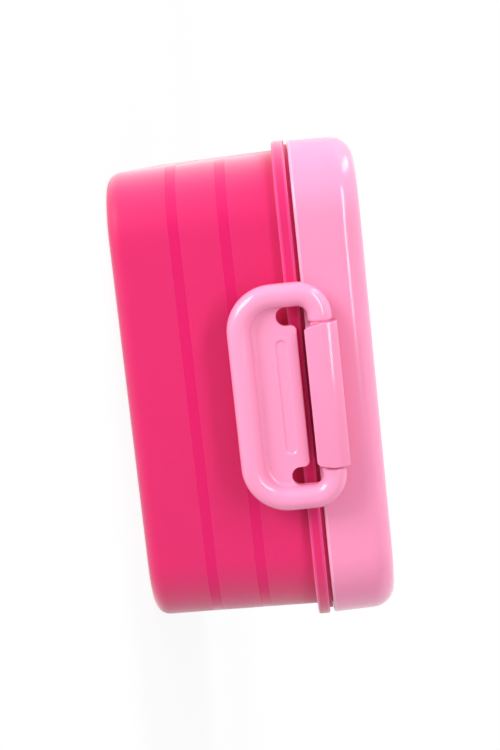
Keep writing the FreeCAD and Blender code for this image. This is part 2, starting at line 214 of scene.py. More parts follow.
def moulded_plastic(
    name, colour, deep, rough, grain, grain_size,
    coat=0.0, scatter=0.0, depth=(2, 2, 2), gleam=0.5, haze=0.0, wear_and_highlight=0.4,
):
    """Moulded plastic: two close shades in soft clouds, a paler line of the square root of the colour
    on rounded edges, which is partly wear where an edge is handled and partly a painted highlight,
    gloss that varies in patches, and the grain of the mould's surface as bump. Light scatters to a
    depth in it that differs by colour, and a satin surface is hazy where light slants across it. Sizes
    are in millimetres."""
    material = bpy.data.materials.new(name)
    material.use_nodes = True
    nodes, links = material.node_tree.nodes, material.node_tree.links
    shader = nodes["Principled BSDF"]
    place = nodes.new("ShaderNodeTexCoord")

    cloud = nodes.new("ShaderNodeTexNoise")
    cloud.inputs["Scale"].default_value = 38
    cloud.inputs["Detail"].default_value = 3
    links.new(place.outputs["Object"], cloud.inputs["Vector"])
    shade = nodes.new("ShaderNodeMix")
    shade.data_type = "RGBA"
    shade.inputs["A"].default_value = (*colour, 1)
    shade.inputs["B"].default_value = (*deep, 1)
    links.new(cloud.outputs["Fac"], shade.inputs["Factor"])

    # Paler rounded edges: partly wear where they are handled, partly a painted highlight.
    edge = nodes.new("ShaderNodeAttribute")
    edge.attribute_name = "edge"
    wear_highlight_share = nodes.new("ShaderNodeMath")
    wear_highlight_share.operation = "MULTIPLY"
    wear_highlight_share.use_clamp = True
    wear_highlight_share.inputs[1].default_value = wear_and_highlight
    links.new(edge.outputs["Fac"], wear_highlight_share.inputs[0])
    worn_and_highlit = nodes.new("ShaderNodeMix")
    worn_and_highlit.data_type = "RGBA"
    worn_and_highlit.inputs["B"].default_value = (*[math.sqrt(c) for c in colour], 1)
    links.new(wear_highlight_share.outputs[0], worn_and_highlit.inputs["Factor"])
    links.new(shade.outputs["Result"], worn_and_highlit.inputs["A"])
    links.new(worn_and_highlit.outputs["Result"], shader.inputs["Base Color"])

    patch = nodes.new("ShaderNodeTexNoise")
    patch.inputs["Scale"].default_value = 210
    patch.inputs["Detail"].default_value = 5
    links.new(place.outputs["Object"], patch.inputs["Vector"])
    gloss = nodes.new("ShaderNodeMapRange")
    gloss.inputs["From Min"].default_value = 0.3
    gloss.inputs["From Max"].default_value = 0.7
    gloss.inputs["To Min"].default_value = rough * 0.9
    gloss.inputs["To Max"].default_value = rough * 1.12
    links.new(patch.outputs["Fac"], gloss.inputs["Value"])
    links.new(gloss.outputs["Result"], shader.inputs["Roughness"])

    skin = nodes.new("ShaderNodeTexNoise")
    skin.inputs["Scale"].default_value = 1000 / grain_size
    skin.inputs["Detail"].default_value = 2
    links.new(place.outputs["Object"], skin.inputs["Vector"])
    bump = nodes.new("ShaderNodeBump")
    bump.inputs["Strength"].default_value = 1.0
    bump.inputs["Distance"].default_value = grain * 0.001
    links.new(skin.outputs["Fac"], bump.inputs["Height"])
    links.new(bump.outputs["Normal"], shader.inputs["Normal"])

    shader.inputs["IOR"].default_value = 1.49
    shader.inputs["Specular IOR Level"].default_value = gleam
    shader.inputs["Sheen Weight"].default_value = haze
    shader.inputs["Sheen Roughness"].default_value = 0.5
    shader.inputs["Coat Weight"].default_value = coat
    shader.inputs["Coat Roughness"].default_value = 0.06
    shader.inputs["Subsurface Weight"].default_value = scatter
    shader.inputs["Subsurface Radius"].default_value = depth
    shader.inputs["Subsurface Scale"].default_value = 0.001
    return material


def polished_bands(material, attribute, rough, haze_left):
    """Where the attribute is 1, the plastic is as smooth as the polished steel that moulded it, and
    only a share of its haze is left."""
    nodes, links = material.node_tree.nodes, material.node_tree.links
    roughness = nodes["Principled BSDF"].inputs["Roughness"]
    band = nodes.new("ShaderNodeAttribute")
    band.attribute_name = attribute
    choose = nodes.new("ShaderNodeMix")
    links.new(band.outputs["Fac"], choose.inputs[0])
    links.new(roughness.links[0].from_socket, choose.inputs[2])
    choose.inputs[3].default_value = rough
    links.new(choose.outputs[0], roughness)
    haze = nodes["Principled BSDF"].inputs["Sheen Weight"]
    clear = nodes.new("ShaderNodeMapRange")
    clear.inputs["To Min"].default_value = haze.default_value
    clear.inputs["To Max"].default_value = haze.default_value * haze_left
    links.new(band.outputs["Fac"], clear.inputs["Value"])
    links.new(clear.outputs["Result"], haze)


def wall_inset(height):
    """How far the tub's outer skin lies inside the flange's outline at a height below the flange."""
    return OVERHANG + TUB_DRAFT * (FLANGE_LOW - height)


belt_corners = [
    (wall_inset(low + up) + set_in, low + up, BELT_EDGE / 2)
    for low in BELTS
    for up, set_in in (
        (0, 0), (BELT_EDGE, BELT_DEPTH), (BELT_WIDTH - BELT_EDGE, BELT_DEPTH), (BELT_WIDTH, 0)
    )
]
foot_inset = wall_inset(0) + BASE_EDGE + FOOT_WIDTH
last_inset = FLANGE_CORNER - FILL_CORNER
tub_outline, tub_bend = inset_outline([
    (last_inset, FOOT_RECESS, 0),
    (foot_inset, FOOT_RECESS, FOOT_ROOT),
    (foot_inset, 0.0, FOOT_EDGE),
    (wall_inset(0), 0.0, BASE_EDGE),
    *belt_corners,
    (OVERHANG, FLANGE_LOW, FLANGE_ROOT),
    (0.0, FLANGE_LOW, FLANGE_EDGE),
    (0.0, FLANGE_TOP, FLANGE_EDGE),
    (LEDGE_INSET, FLANGE_TOP, LEDGE_EDGE),
    (LEDGE_INSET, LEDGE_TOP, LEDGE_EDGE),
    (OVERHANG, LEDGE_TOP, LEDGE_EDGE),
    (OVERHANG, NECK_TOP, RIM_EDGE),
    (OVERHANG + WALL, NECK_TOP, RIM_INNER_EDGE),
    (OVERHANG + WALL, FLANGE_LOW, NECK_BEND),
    (wall_inset(FLOOR) + WALL, FLOOR, FLOOR_EDGE),
    (last_inset, FLOOR, 0),
])
tub_in, tub_height = tub_outline.T
sunk = (tub_in > wall_inset(tub_height) + 0.6 * BELT_DEPTH) & (tub_in < OVERHANG + WALL)
in_belt = np.zeros(len(tub_outline))
for low in BELTS:
    near = np.abs(tub_height - low - BELT_WIDTH / 2) < BELT_WIDTH / 2
    in_belt[sunk & near] = 1
box_path = round_path(FLANGE_HALF_X, FLANGE_HALF_Y, FLANGE_CORNER)
# The paler edge line, partly wear and partly a painted highlight, stays off the base's round edge.
tub_skins = [{
    "grid": carried_round(tub_outline, box_path, FLANGE_CORNER),
    "fill": True,
    "values": {"edge": (tub_bend * (tub_height > BASE_EDGE))[:, None], "belt": in_belt[:, None]},
}]

# The ribs run from inside the floor to the rack's lip, and back into the wall by a little.
support_half = (SUPPORT_DEPTH + SUPPORT_SUNK) / 2
support_low = FLOOR / 2
support_outline, _ = rounded([
    (depth * support_half, width * SUPPORT_WIDTH / 2, SUPPORT_EDGE)
    for depth, width in ((-1, -1), (1, -1), (1, 1), (-1, 1))
], steps=4)
support = slab(support_outline, (SUPPORT_TOP - support_low) / 2, SUPPORT_ROLL)
support = support + (0, 0, (SUPPORT_TOP + support_low) / 2)
neck_inset = OVERHANG + WALL + SUPPORT_DEPTH - support_half
for side in (-1, 1):
    for end in (-1, 1):
        on_side = support + (side * (FLANGE_HALF_X - neck_inset), end * SUPPORT_Y, 0)
        on_end = support[..., (1, 0, 2)] + (end * SUPPORT_X, side * (FLANGE_HALF_Y - neck_inset), 0)
        tub_skins += [{"grid": on_side, "fill": True}, {"grid": on_end, "fill": True}]
tub_plastic = moulded_plastic(
    "tub_plastic", colour=(0.72, 0.004, 0.13), deep=(0.69, 0.003, 0.12),
    rough=0.5, grain=0.004, grain_size=0.5, scatter=0.15, depth=(4, 0.4, 0.8), gleam=0.25, haze=0.75,
)
polished_bands(tub_plastic, "belt", BELT_ROUGH, BELT_HAZE)
piece(joined_mesh("tub_shell", tub_skins), tub_plastic, "tub", ["tub"])


# Lid: one glossy moulding in light pink that slips over the neck, with a groove for the seal and a
# rib that centres it in the tub's rim. Its top edge is rounded and its sides draw in by the draft.
LID_HALF_X, _, LID_TOP = corners_of("lid")[1]
LID_INSET = FLANGE_HALF_X - LID_HALF_X
LID_DRAFT = math.tan(math.radians(1.5))
HEM, HEM_EDGE, HEM_INNER_EDGE, HEM_WEAR_AND_HIGHLIGHT = 40.3, 0.6, 0.2, 1.0
LID_EDGE, LID_WALL, CEILING = 5.2, 1.8, 52.7
SEAL_CEILING, SEAL_GROOVE_EDGE = 51.4, 0.1
RIB_INSET, RIB_WALL, RIB_DEPTH, RIB_EDGE, RIB_ROOT = 4.7, 1.3, 1.0, 0.3, 0.4


def lid_inset(height):
    """How far the lid's outer skin lies inside the flange's outline at a height above the hem."""
    return LID_INSET + LID_DRAFT * (height - HEM)


lid_outline, lid_bend = inset_outline([
    (last_inset, CEILING, 0),
    (RIB_INSET + RIB_WALL, CEILING, RIB_ROOT),
    (RIB_INSET + RIB_WALL, NECK_TOP - RIB_DEPTH, RIB_EDGE),
    (RIB_INSET, NECK_TOP - RIB_DEPTH, RIB_EDGE),
    (RIB_INSET, SEAL_CEILING, SEAL_GROOVE_EDGE),
    (lid_inset(SEAL_CEILING) + LID_WALL, SEAL_CEILING, SEAL_GROOVE_EDGE),
    (lid_inset(HEM) + LID_WALL, HEM, HEM_INNER_EDGE),
    (lid_inset(HEM), HEM, HEM_EDGE),
    (lid_inset(LID_TOP), LID_TOP, LID_EDGE),
    (last_inset, LID_TOP, 0),
], steps=12)
# The paler edge line, partly wear and partly a painted highlight, runs only along the hem.
lid_skin = {
    "grid": carried_round(lid_outline, box_path, FLANGE_CORNER),
    "fill": True,
    "values": {"edge": (lid_bend * (lid_outline[:, 1] < HEM + HEM_WEAR_AND_HIGHLIGHT))[:, None]},
}
lid_plastic = moulded_plastic(
    "lid_plastic", colour=(0.96, 0.305, 0.51), deep=(0.94, 0.285, 0.485),
    rough=0.2, grain=0.0015, grain_size=2.0, coat=0.3, scatter=0.1,
)
piece(joined_mesh("lid_shell", [lid_skin]), lid_plastic, "lid", ["lid"])


# Hooks: the lid's own plastic wrapped over each latch's pivot, open below so that the pivot snaps in.
# Their front is flat below and rounds back to the lid above; the lower corners are cut off.
swing = next(joint for joint in frame["joints"] if joint["name"] == "latch_front_swing")
_, PIVOT_Y, PIVOT_Z = 1000 * np.array(swing["pos_m"])
HOOK_REACH = PIVOT_Y - corners_of("lid")[0][1]
HOOK_BORE, HOOK_ROOT, MOUTH_HALF, MOUTH_EDGE = 2.18, 4.6, 1.7, 0.15
HOOK_HALF, HOOK_CHAMFER, HOOK_ROLL, HOOK_EDGE = 15.5, 1.2, 0.22, 0.6
CROWN_LOW, CROWN_RADIUS, CROWN_LEAN, CROWN_EDGE = 0.1, 5.1, math.radians(38), 0.3


def at_both_ends(skin):
    """The same skin at the front and, turned half round the box's upright axis, at the rear."""
    return skin, {**skin, "grid": skin["grid"] * (-1, -1, 1)}


bore_low = -math.acos(MOUTH_HALF / HOOK_BORE)
bore_angle = np.linspace(bore_low, math.pi - bore_low, 40)
bore_arc = np.stack([np.cos(bore_angle), np.sin(bore_angle)], 1) * HOOK_BORE
crown_corner = CROWN_LOW + CROWN_RADIUS * math.tan(CROWN_LEAN / 2)
hook_front, _ = rounded([
    (MOUTH_HALF, -HOOK_REACH, MOUTH_EDGE),
    (HOOK_REACH, -HOOK_REACH, HOOK_EDGE),
    (HOOK_REACH, crown_corner, CROWN_RADIUS),
    (HOOK_REACH - (HOOK_REACH - crown_corner) * math.tan(CROWN_LEAN), HOOK_REACH, CROWN_EDGE),
    (-HOOK_ROOT, HOOK_REACH, 0),
    (-HOOK_ROOT, HEM - PIVOT_Z, 0),
    (-MOUTH_HALF, HEM - PIVOT_Z, MOUTH_EDGE),
    (-MOUTH_HALF, 0, 0),
    (MOUTH_HALF, 0, 0),
], steps=12, beyond=0.02)
outside_mouth = (np.abs(hook_front[:, 0]) > MOUTH_HALF + 1e-6) | (hook_front[:, 1] < bore_arc[0, 1])
hook_outline = np.concatenate([hook_front[outside_mouth], bore_arc[::-1]])
hook_solid = slab(hook_outline, HOOK_HALF, HOOK_ROLL)
cut_off = np.clip(HOOK_CHAMFER - HOOK_REACH - hook_solid[..., 1], 0, HOOK_CHAMFER)
hook_grid = np.stack([
    hook_solid[..., 2] * (1 - cut_off / HOOK_HALF),
    PIVOT_Y - hook_solid[..., 0],
    PIVOT_Z + hook_solid[..., 1],
], 2)
for place, skin in zip(("front", "rear"), at_both_ends({"grid": hook_grid, "fill": True})):
    piece(joined_mesh("hook_" + place, [skin]), lid_plastic, "lid")


# Latches: one glossy moulding each, a round bead bent into a frame with a thin web across it.
# A pocket at each side frees the web's upper part as a springy tongue, with a catch behind it that
# holds under the tub's flange.
BEAD, FRAME_HALF, FRAME_LOW = 2.6, 21.9, 26.2
FRAME_CORNER, FRAME_LOW_CORNER = 4.7, 7.4
BEAD_END, BEAD_EDGE, PIVOT_RADIUS, PIVOT_SUNK = 15.85, 0.5, 2.1, 1.0
WEB_FRONT, WEB_BACK, WEB_EDGE, COVE = -76.8, -74.8, 0.3, 1.2
TONGUE_TOP, TONGUE_CORNER = 38.4, 1.2
POCKET_RADIUS, POCKET_X, POCKET_Z, POCKET_TOP = 2.0, 17.3, 36.3, 41.0
GROOVE_HALF, GROOVE_RADIUS, GROOVE_Z, GROOVE_DEPTH, GROOVE_EDGE = 11.2, 1.1, 34.8, 0.3, 0.5
CATCH_HALF, CATCH_ROOT, CATCH_TIP, CATCH_EDGE, CATCH_ROLL = 11.0, -75.3, -73.1, 0.25, 0.2
CATCH_HEIGHTS = {"root low": 32.31, "tip low": 34.93, "tip top": 35.83, "root top": 37.59}
ROLL_STEPS, BEND_STEPS, SIDE_STEPS, TOP_STEPS, FACE_STEPS = 6, 16, 4, 100, 109
BACK_SHARES, LOW_RUN = (1.0, 0.5, 0.15), 2.0


def tube(line, radius, segments=40):
    """A round tube along a line in the upright plane of the latch: each ring stands square to the line
    there, on its sideways direction and the direction out of the plane."""
    run = np.gradient(line, axis=0)
    run = run / np.linalg.norm(run, axis=1, keepdims=True)
    side = np.stack([-run[:, 1], run[:, 0]], 1)
    angle = np.arange(segments) * 2 * math.pi / segments
    off = radius[:, None] * np.cos(angle)
    return np.stack([
        line[:, :1] + off * side[:, :1],
        PIVOT_Y + radius[:, None] * np.sin(angle),
        line[:, 1:] + off * side[:, 1:],
    ], 2)


def inside_frame(x, z):
    """Distance inward from the bead's centre line, which is a rectangle with round corners."""
    middle = (PIVOT_Z + FRAME_LOW) / 2
    corner = np.where(z < middle, FRAME_LOW_CORNER, FRAME_CORNER)
    beyond_x = np.abs(x) - FRAME_HALF + corner
    beyond_z = np.abs(z - middle) - (PIVOT_Z - FRAME_LOW) / 2 + corner
    outside = np.hypot(np.maximum(beyond_x, 0), np.maximum(beyond_z, 0))
    return corner - outside - np.minimum(np.maximum(beyond_x, beyond_z), 0)


def web_height(x, z):
    """Height of the web's face above its flat: a round cove where it rises to the bead, and the shallow
    round-ended groove for the thumb."""
    bead_rise = WEB_FRONT - PIVOT_Y
    foot = math.sqrt((BEAD + COVE) ** 2 - (COVE - bead_rise) ** 2)
    top = foot * BEAD / (BEAD + COVE)
    inward = np.clip(inside_frame(x, z), top, foot)
    cove = COVE - np.sqrt(COVE**2 - (foot - inward) ** 2)
    past_groove = np.hypot(np.maximum(np.abs(x) - GROOVE_HALF, 0), z - GROOVE_Z) - GROOVE_RADIUS
    share = np.clip(0.5 - past_groove / GROOVE_EDGE, 0, 1)
    return cove - GROOVE_DEPTH * share * share * (3 - 2 * share)


def in_plane(x, z):
    """Points in the latch's plane from their places across and up. One number stands for them all."""
    return np.stack(np.broadcast_arrays(x, z), 1)


frame_line, _ = rounded([
    (-FRAME_HALF, PIVOT_Z, FRAME_CORNER), (-FRAME_HALF, FRAME_LOW, FRAME_LOW_CORNER),
    (FRAME_HALF, FRAME_LOW, FRAME_LOW_CORNER), (FRAME_HALF, PIVOT_Z, FRAME_CORNER),
], steps=16)
roll = np.linspace(0, math.pi / 2, ROLL_STEPS)
rolled_in, rolled_down = 1 - np.cos(roll), 1 - np.sin(roll)
end_line = np.stack([-BEAD_END - BEAD_EDGE * rolled_in, np.full(ROLL_STEPS, PIVOT_Z)], 1)
bead_line = np.concatenate([end_line, frame_line[1:-1], (end_line * (-1, 1))[::-1]])
bead_radius = np.full(len(bead_line), BEAD)
bead_radius[:ROLL_STEPS] = BEAD - BEAD_EDGE * rolled_down
bead_radius[-ROLL_STEPS:] = bead_radius[:ROLL_STEPS][::-1]
pivot_end = BEAD_END + PIVOT_SUNK
pivot_line = np.array([(-pivot_end, PIVOT_Z), (0, PIVOT_Z), (pivot_end, PIVOT_Z)])

# The web lies between the bead's centre line and the edge of the cut that frees the tongue; both are
# walked together from the bead's side to the middle, and mirrored.
step = np.linspace(0, 1, BEND_STEPS, endpoint=False)
turn = step * math.pi / 2
first_turn = math.pi / 6
side_drop = POCKET_Z - FRAME_LOW - FRAME_LOW_CORNER
walked = step * (side_drop + FRAME_LOW_CORNER * first_turn)
low_turn = np.maximum(walked - side_drop, 0) / FRAME_LOW_CORNER
low_turn = np.concatenate([low_turn, first_turn + step * (math.pi / 2 - first_turn)])
low_drop = np.concatenate([np.minimum(walked, side_drop), np.full(BEND_STEPS, side_drop)])
to_middle = 1 - np.linspace(0, 1, TOP_STEPS)
pocket_drop = POCKET_TOP + (POCKET_Z - POCKET_TOP) * step
tongue_x, tongue_z = POCKET_X - POCKET_RADIUS - TONGUE_CORNER, TONGUE_TOP - TONGUE_CORNER
tongue_side = np.linspace(POCKET_Z, tongue_z, SIDE_STEPS, endpoint=False)
low_x = FRAME_HALF - FRAME_LOW_CORNER
low_side = np.linspace(low_x, low_x - LOW_RUN, BEND_STEPS + SIDE_STEPS)
cut_edge = np.concatenate([
    in_plane(POCKET_X + POCKET_RADIUS, pocket_drop),
    in_plane(POCKET_X + POCKET_RADIUS * np.cos(turn), POCKET_Z - POCKET_RADIUS * np.sin(turn)),
    in_plane(POCKET_X - POCKET_RADIUS * np.sin(turn), POCKET_Z - POCKET_RADIUS * np.cos(turn)),
    in_plane(POCKET_X - POCKET_RADIUS, tongue_side),
    in_plane(tongue_x + TONGUE_CORNER * np.cos(turn), tongue_z + TONGUE_CORNER * np.sin(turn)),
    in_plane(tongue_x * to_middle, TONGUE_TOP),
])
bead_edge = np.concatenate([
    in_plane(FRAME_HALF, pocket_drop),
    in_plane(
        low_x + FRAME_LOW_CORNER * np.cos(low_turn),
        POCKET_Z - low_drop - FRAME_LOW_CORNER * np.sin(low_turn),
    ),
    in_plane(low_side, FRAME_LOW),
    in_plane((low_x - LOW_RUN) * to_middle, FRAME_LOW),
])
cut_edge = np.concatenate([cut_edge, cut_edge[-2::-1] * (-1, 1)])
bead_edge = np.concatenate([bead_edge, bead_edge[-2::-1] * (-1, 1)])
across = bead_edge - cut_edge
width = np.linalg.norm(across, axis=1)
back_flat, front_flat = np.zeros(len(BACK_SHARES)), np.zeros(FACE_STEPS)
front_shares = np.linspace(0, 1, FACE_STEPS + 1)[1:]
share = np.concatenate([BACK_SHARES, 0 * roll, 0 * roll, front_shares])
edge_off = np.concatenate([back_flat + 1, rolled_down, rolled_in, front_flat + 1]) * WEB_EDGE
from_edge = edge_off + share * (width[:, None] - WEB_EDGE)
web_x, web_z = [
    cut_edge[:, i:i + 1] + across[:, i:i + 1] * from_edge / width[:, None] for i in (0, 1)
]
back_y = WEB_BACK - WEB_EDGE * np.concatenate([back_flat, rolled_in])
front_drop = WEB_EDGE * np.concatenate([rolled_down, front_flat])
front = slice(len(back_y), None)
web_y = np.concatenate([
    np.broadcast_to(back_y, (len(web_x), len(back_y))),
    WEB_FRONT - web_height(web_x[:, front], web_z[:, front]) + front_drop,
], 1)
web_grid = np.stack([web_x, web_y, web_z], 2)

catch_outline, _ = rounded([
    (CATCH_ROOT, CATCH_HEIGHTS["root low"], 0), (CATCH_TIP, CATCH_HEIGHTS["tip low"], CATCH_EDGE),
    (CATCH_TIP, CATCH_HEIGHTS["tip top"], CATCH_EDGE), (CATCH_ROOT, CATCH_HEIGHTS["root top"], 0),
], steps=5)
latch_skins = [
    {"grid": tube(bead_line, bead_radius), "fill": True},
    {"grid": tube(pivot_line, np.full(len(pivot_line), PIVOT_RADIUS)), "fill": True},
    {"grid": web_grid, "wrap_columns": False},
    {"grid": slab(catch_outline, CATCH_HALF, CATCH_ROLL)[..., (2, 0, 1)], "fill": True},
]
latch_plastic = moulded_plastic(
    "latch_plastic", colour=(0.98, 0.335, 0.55), deep=(0.96, 0.32, 0.53),
    rough=0.2, grain=0.0012, grain_size=1.6, coat=0.3, scatter=0.1,
)
for place, skins in zip(("front", "rear"), zip(*map(at_both_ends, latch_skins))):
    body = "latch_" + place
    piece(joined_mesh(body + "_moulding", skins), latch_plastic, body, [body])


# Seal: a soft ring of milky silicone with rounded edges, pressed into the lid's groove. It fills the
# groove above the tub's rim and closes on it, with a little room at its sides.
(seal_low_x, _, SEAL_LOW), (_, _, SEAL_TOP) = corners_of("lid_seal")
SEAL_OUT, SEAL_IN, SEAL_EDGE = FLANGE_HALF_X + seal_low_x, 4.55, 0.45
seal_outline, _ = inset_outline([
    (SEAL_OUT, SEAL_LOW, SEAL_EDGE), (SEAL_OUT, SEAL_TOP, SEAL_EDGE),
    (SEAL_IN, SEAL_TOP, SEAL_EDGE), (SEAL_IN, SEAL_LOW, SEAL_EDGE),
])
seal_skin = {"grid": carried_round(seal_outline, box_path, FLANGE_CORNER), "wrap_rows": True}
seal_silicone = moulded_plastic(
    "seal_silicone", colour=(0.80, 0.77, 0.76), deep=(0.74, 0.71, 0.71),
    rough=0.5, grain=0.004, grain_size=0.8, scatter=0.3, gleam=0.4,
)
piece(joined_mesh("seal_ring", [seal_skin]), seal_silicone, "lid", ["lid_seal"])


# Rack: one thin moulding in natural white plastic, four round troughs divided into slots, hung in the
# tub by a flat lip that lies on the ribs, with a finger grip standing at each end.
bobbins = sorted(
    node for node in frame["nodes"] if node.startswith("bobbin_") and node != "bobbin_rack"
)
bobbin_centres = np.array([sum(corners_of(node)) / 2 for node in bobbins])
ROWS, SLOTS = [np.unique(bobbin_centres[:, i].round(3)) for i in (0, 1)]
BOBBIN_Z = bobbin_centres[0, 2]
RACK_HALF_X, RACK_HALF_Y, GRIP_TOP = corners_of("bobbin_rack")[1]
RACK_CORNER, LIP_TOP, LIP_LOW, LIP_EDGE, LIP_RUN = 13.2, 38.5, 37.1, 0.3, 1.0
SEAT_RADIUS, RACK_WALL, RACK_BEVEL, BEVEL_ANGLE = 10.45, 1.3, 0.3, math.radians(40)
SLOT_HALF, SLOT_STEPS = 6.15, 7
GRIP_HALF, GRIP_THICK, GRIP_CORNER, GRIP_ROLL = 12.0, 1.6, 4.0, 0.5


def trough_half_width(radius, height):
    """Half the width, at a height, of a trough of that radius round the bobbins' axis."""
    return math.sqrt(radius**2 - (BOBBIN_Z - height) ** 2)


def trough_lines(radius, height, steps=25):
    """Places across the rack at even angles round every trough, between its edges at a height."""
    steepest = math.asin(trough_half_width(radius, height) / radius)
    return (ROWS[:, None] + radius * np.sin(np.linspace(-steepest, steepest, steps))).ravel()


def troughed(x, radius, height):
    """Height of a face that is flat between the troughs and round in them."""
    off = np.abs(x[:, None] - ROWS).min(1)
    return np.minimum(height, BOBBIN_Z - np.sqrt(np.maximum(radius**2 - off**2, 0)))


trough_radius = SEAT_RADIUS + RACK_WALL
trough_end = SLOTS[-1] + SLOT_HALF + RACK_WALL
rack_x = np.concatenate([trough_lines(SEAT_RADIUS, LIP_TOP), trough_lines(trough_radius, LIP_LOW)])
rack_x = np.unique(rack_x.round(4))

# Lines across the slots are doubled at each slot's ends, so that one of the two stays on the flat.
within = np.linspace(-SLOT_HALF, SLOT_HALF, SLOT_STEPS)
slot_y = (SLOTS[:, None] + np.concatenate([[-SLOT_HALF], within, [SLOT_HALF]])).ravel()
slot_cut = np.tile(np.concatenate([[False], np.ones(SLOT_STEPS, bool), [False]]), len(SLOTS))
rack_y = np.concatenate([[-trough_end] * 2, slot_y, [trough_end] * 2])
upper_cut = np.concatenate([[False] * 2, slot_cut, [False] * 2])
lower_cut = np.concatenate([[False], np.ones(len(rack_y) - 2, bool), [False]])


def rack_face(cut, radius, height):
    """One face of the rack on the lines across and along it: round where it is cut, flat elsewhere."""
    z = np.where(cut[:, None], troughed(rack_x, radius, height)[None], height)
    x, y = np.meshgrid(rack_x, rack_y)
    return np.stack([x, y, z], 2)


upper_face = rack_face(upper_cut, SEAT_RADIUS, LIP_TOP)
lower_face = rack_face(lower_cut, trough_radius, LIP_LOW)
flat_y = np.unique(rack_y)
border = np.concatenate([
    np.stack([rack_x, np.full(len(rack_x), -trough_end)], 1),
    np.stack([np.full(len(flat_y), rack_x[-1]), flat_y], 1)[1:],
    np.stack([rack_x, np.full(len(rack_x), trough_end)], 1)[-2::-1],
    np.stack([np.full(len(flat_y), rack_x[0]), flat_y], 1)[-2:0:-1],
])
inner_half = np.array([RACK_HALF_X, RACK_HALF_Y]) - RACK_CORNER
lip_centre = np.clip(border, -inner_half, inner_half)
lip_out = (border - lip_centre) / np.linalg.norm(border - lip_centre, axis=1, keepdims=True)
lip_outline, _ = inset_outline([
    (LIP_RUN, LIP_LOW, 0), (0.0, LIP_LOW, LIP_EDGE), (0.0, LIP_TOP, LIP_EDGE), (LIP_RUN, LIP_TOP, 0)
])
lip_grid = carried_round(lip_outline, (lip_centre, lip_out), RACK_CORNER)
border_rows = [np.insert(border, 2, height, 1)[None] for height in (LIP_LOW, LIP_TOP)]
lip_grid = np.concatenate([border_rows[0], lip_grid, border_rows[1]])

grip_low = (LIP_TOP + LIP_LOW) / 2
grip_outline, _ = rounded([
    (-GRIP_HALF, grip_low, 0), (GRIP_HALF, grip_low, 0),
    (GRIP_HALF, GRIP_TOP, GRIP_CORNER), (-GRIP_HALF, GRIP_TOP, GRIP_CORNER),
], steps=10)
grip_grid = slab(grip_outline, GRIP_THICK / 2, GRIP_ROLL)[..., (0, 2, 1)]
grip_grid = grip_grid - (0, trough_end + GRIP_THICK / 2, 0)
rack_plastic = moulded_plastic(
    "rack_plastic", colour=(0.84, 0.82, 0.81), deep=(0.79, 0.77, 0.77),
    rough=0.42, grain=0.005, grain_size=0.6, scatter=0.15,
)
rack_mesh = joined_mesh("rack_tray", [
    {"grid": upper_face, "wrap_columns": False}, {"grid": lower_face, "wrap_columns": False},
    {"grid": lip_grid}, *at_both_ends({"grid": grip_grid, "fill": True}),
])
rack = piece(rack_mesh, rack_plastic, "rack", ["bobbin_rack"])
softened = rack.modifiers.new("soft_edges", "BEVEL")
softened.width, softened.segments = RACK_BEVEL * 0.001, 2
softened.limit_method, softened.angle_limit = "ANGLE", BEVEL_ANGLE
rack.modifiers.new("flat_faces", "WEIGHTED_NORMAL")


# Bobbins: clear moulded spools for a domestic machine, two flanges on a hub with a bore for the
# spindle, and a ring of holes through both flanges. Each stands loose in its slot.
BOBBIN_RADIUS, BOBBIN_HALF = [(np.subtract(*corners_of(bobbins[0])[::-1]) / 2)[i] for i in (0, 1)]
HUB, BORE, BOBBIN_FLANGE, BOBBIN_EDGE = 4.5, 3.05, 1.1, 0.3
HOLES, HOLE, HOLE_EDGE, HOLE_RING = 6, 1.3, 0.18, 0.6
HOLE_SEGMENTS, RAY_STEPS = 10, 6


def turned_round(profile, steps):
    """A profile of (radius, along) turned round the bobbin's axis, which lies along Y."""
    angle = np.arange(steps) * 2 * math.pi / steps
    radius, along = profile[:, 0][:, None], profile[:, 1][:, None]
    return np.stack([
        radius * np.cos(angle), np.broadcast_to(along, (len(profile), steps)), radius * np.sin(angle)
    ], 2)


def sector_edge(inner, outer, steps):
    """The border of one hole's share of a flange: in along a ray, out round the rim, and back."""
    half = math.pi / HOLES
    ray = np.linspace(inner, outer, RAY_STEPS + 1)
    arc = np.linspace(-half, half, steps + 1)
    radius = np.concatenate([ray[:-1], np.full(steps, outer), ray[:0:-1], np.full(steps, inner)])
    angle = np.concatenate([np.full(RAY_STEPS, -half), arc[:-1], np.full(RAY_STEPS, half), arc[:0:-1]])
    return np.stack([radius * np.cos(angle), radius * np.sin(angle)], 1)


def holed_sector(outside, inside):
    """One hole's share of a flange, from the border on its outer face through the hole to the border on
    its inner face. Rows close in on the hole along rays from its centre and roll over its two rims."""
    middle = np.array([(BOBBIN_RADIUS + HUB) / 2, 0])
    edge_out = sector_edge(HUB, BOBBIN_RADIUS - BOBBIN_EDGE, HOLE_SEGMENTS)
    edge_in = sector_edge(HUB + BOBBIN_EDGE, BOBBIN_RADIUS - BOBBIN_EDGE, HOLE_SEGMENTS)
    toward = edge_out - middle
    toward = toward / np.linalg.norm(toward, axis=1, keepdims=True)
    turn = np.linspace(0, math.pi / 2, 4)
    depth = HOLE_EDGE * (1 - np.cos(turn)) * np.sign(inside - outside)
    reach = HOLE + HOLE_EDGE * (1 - np.sin(turn))
    reach = np.concatenate([[HOLE + HOLE_RING], reach, reach[::-1], [HOLE + HOLE_RING]])
    along = np.concatenate([[outside], outside + depth, (inside - depth)[::-1], [inside]])
    rings = middle + reach[:, None, None] * toward[None]
    flat = np.concatenate([edge_out[None], rings, edge_in[None]])
    along = np.concatenate([[outside], along, [inside]])
    return np.stack([flat[..., 0], np.broadcast_to(along[:, None], flat.shape[:2]), flat[..., 1]], 2)


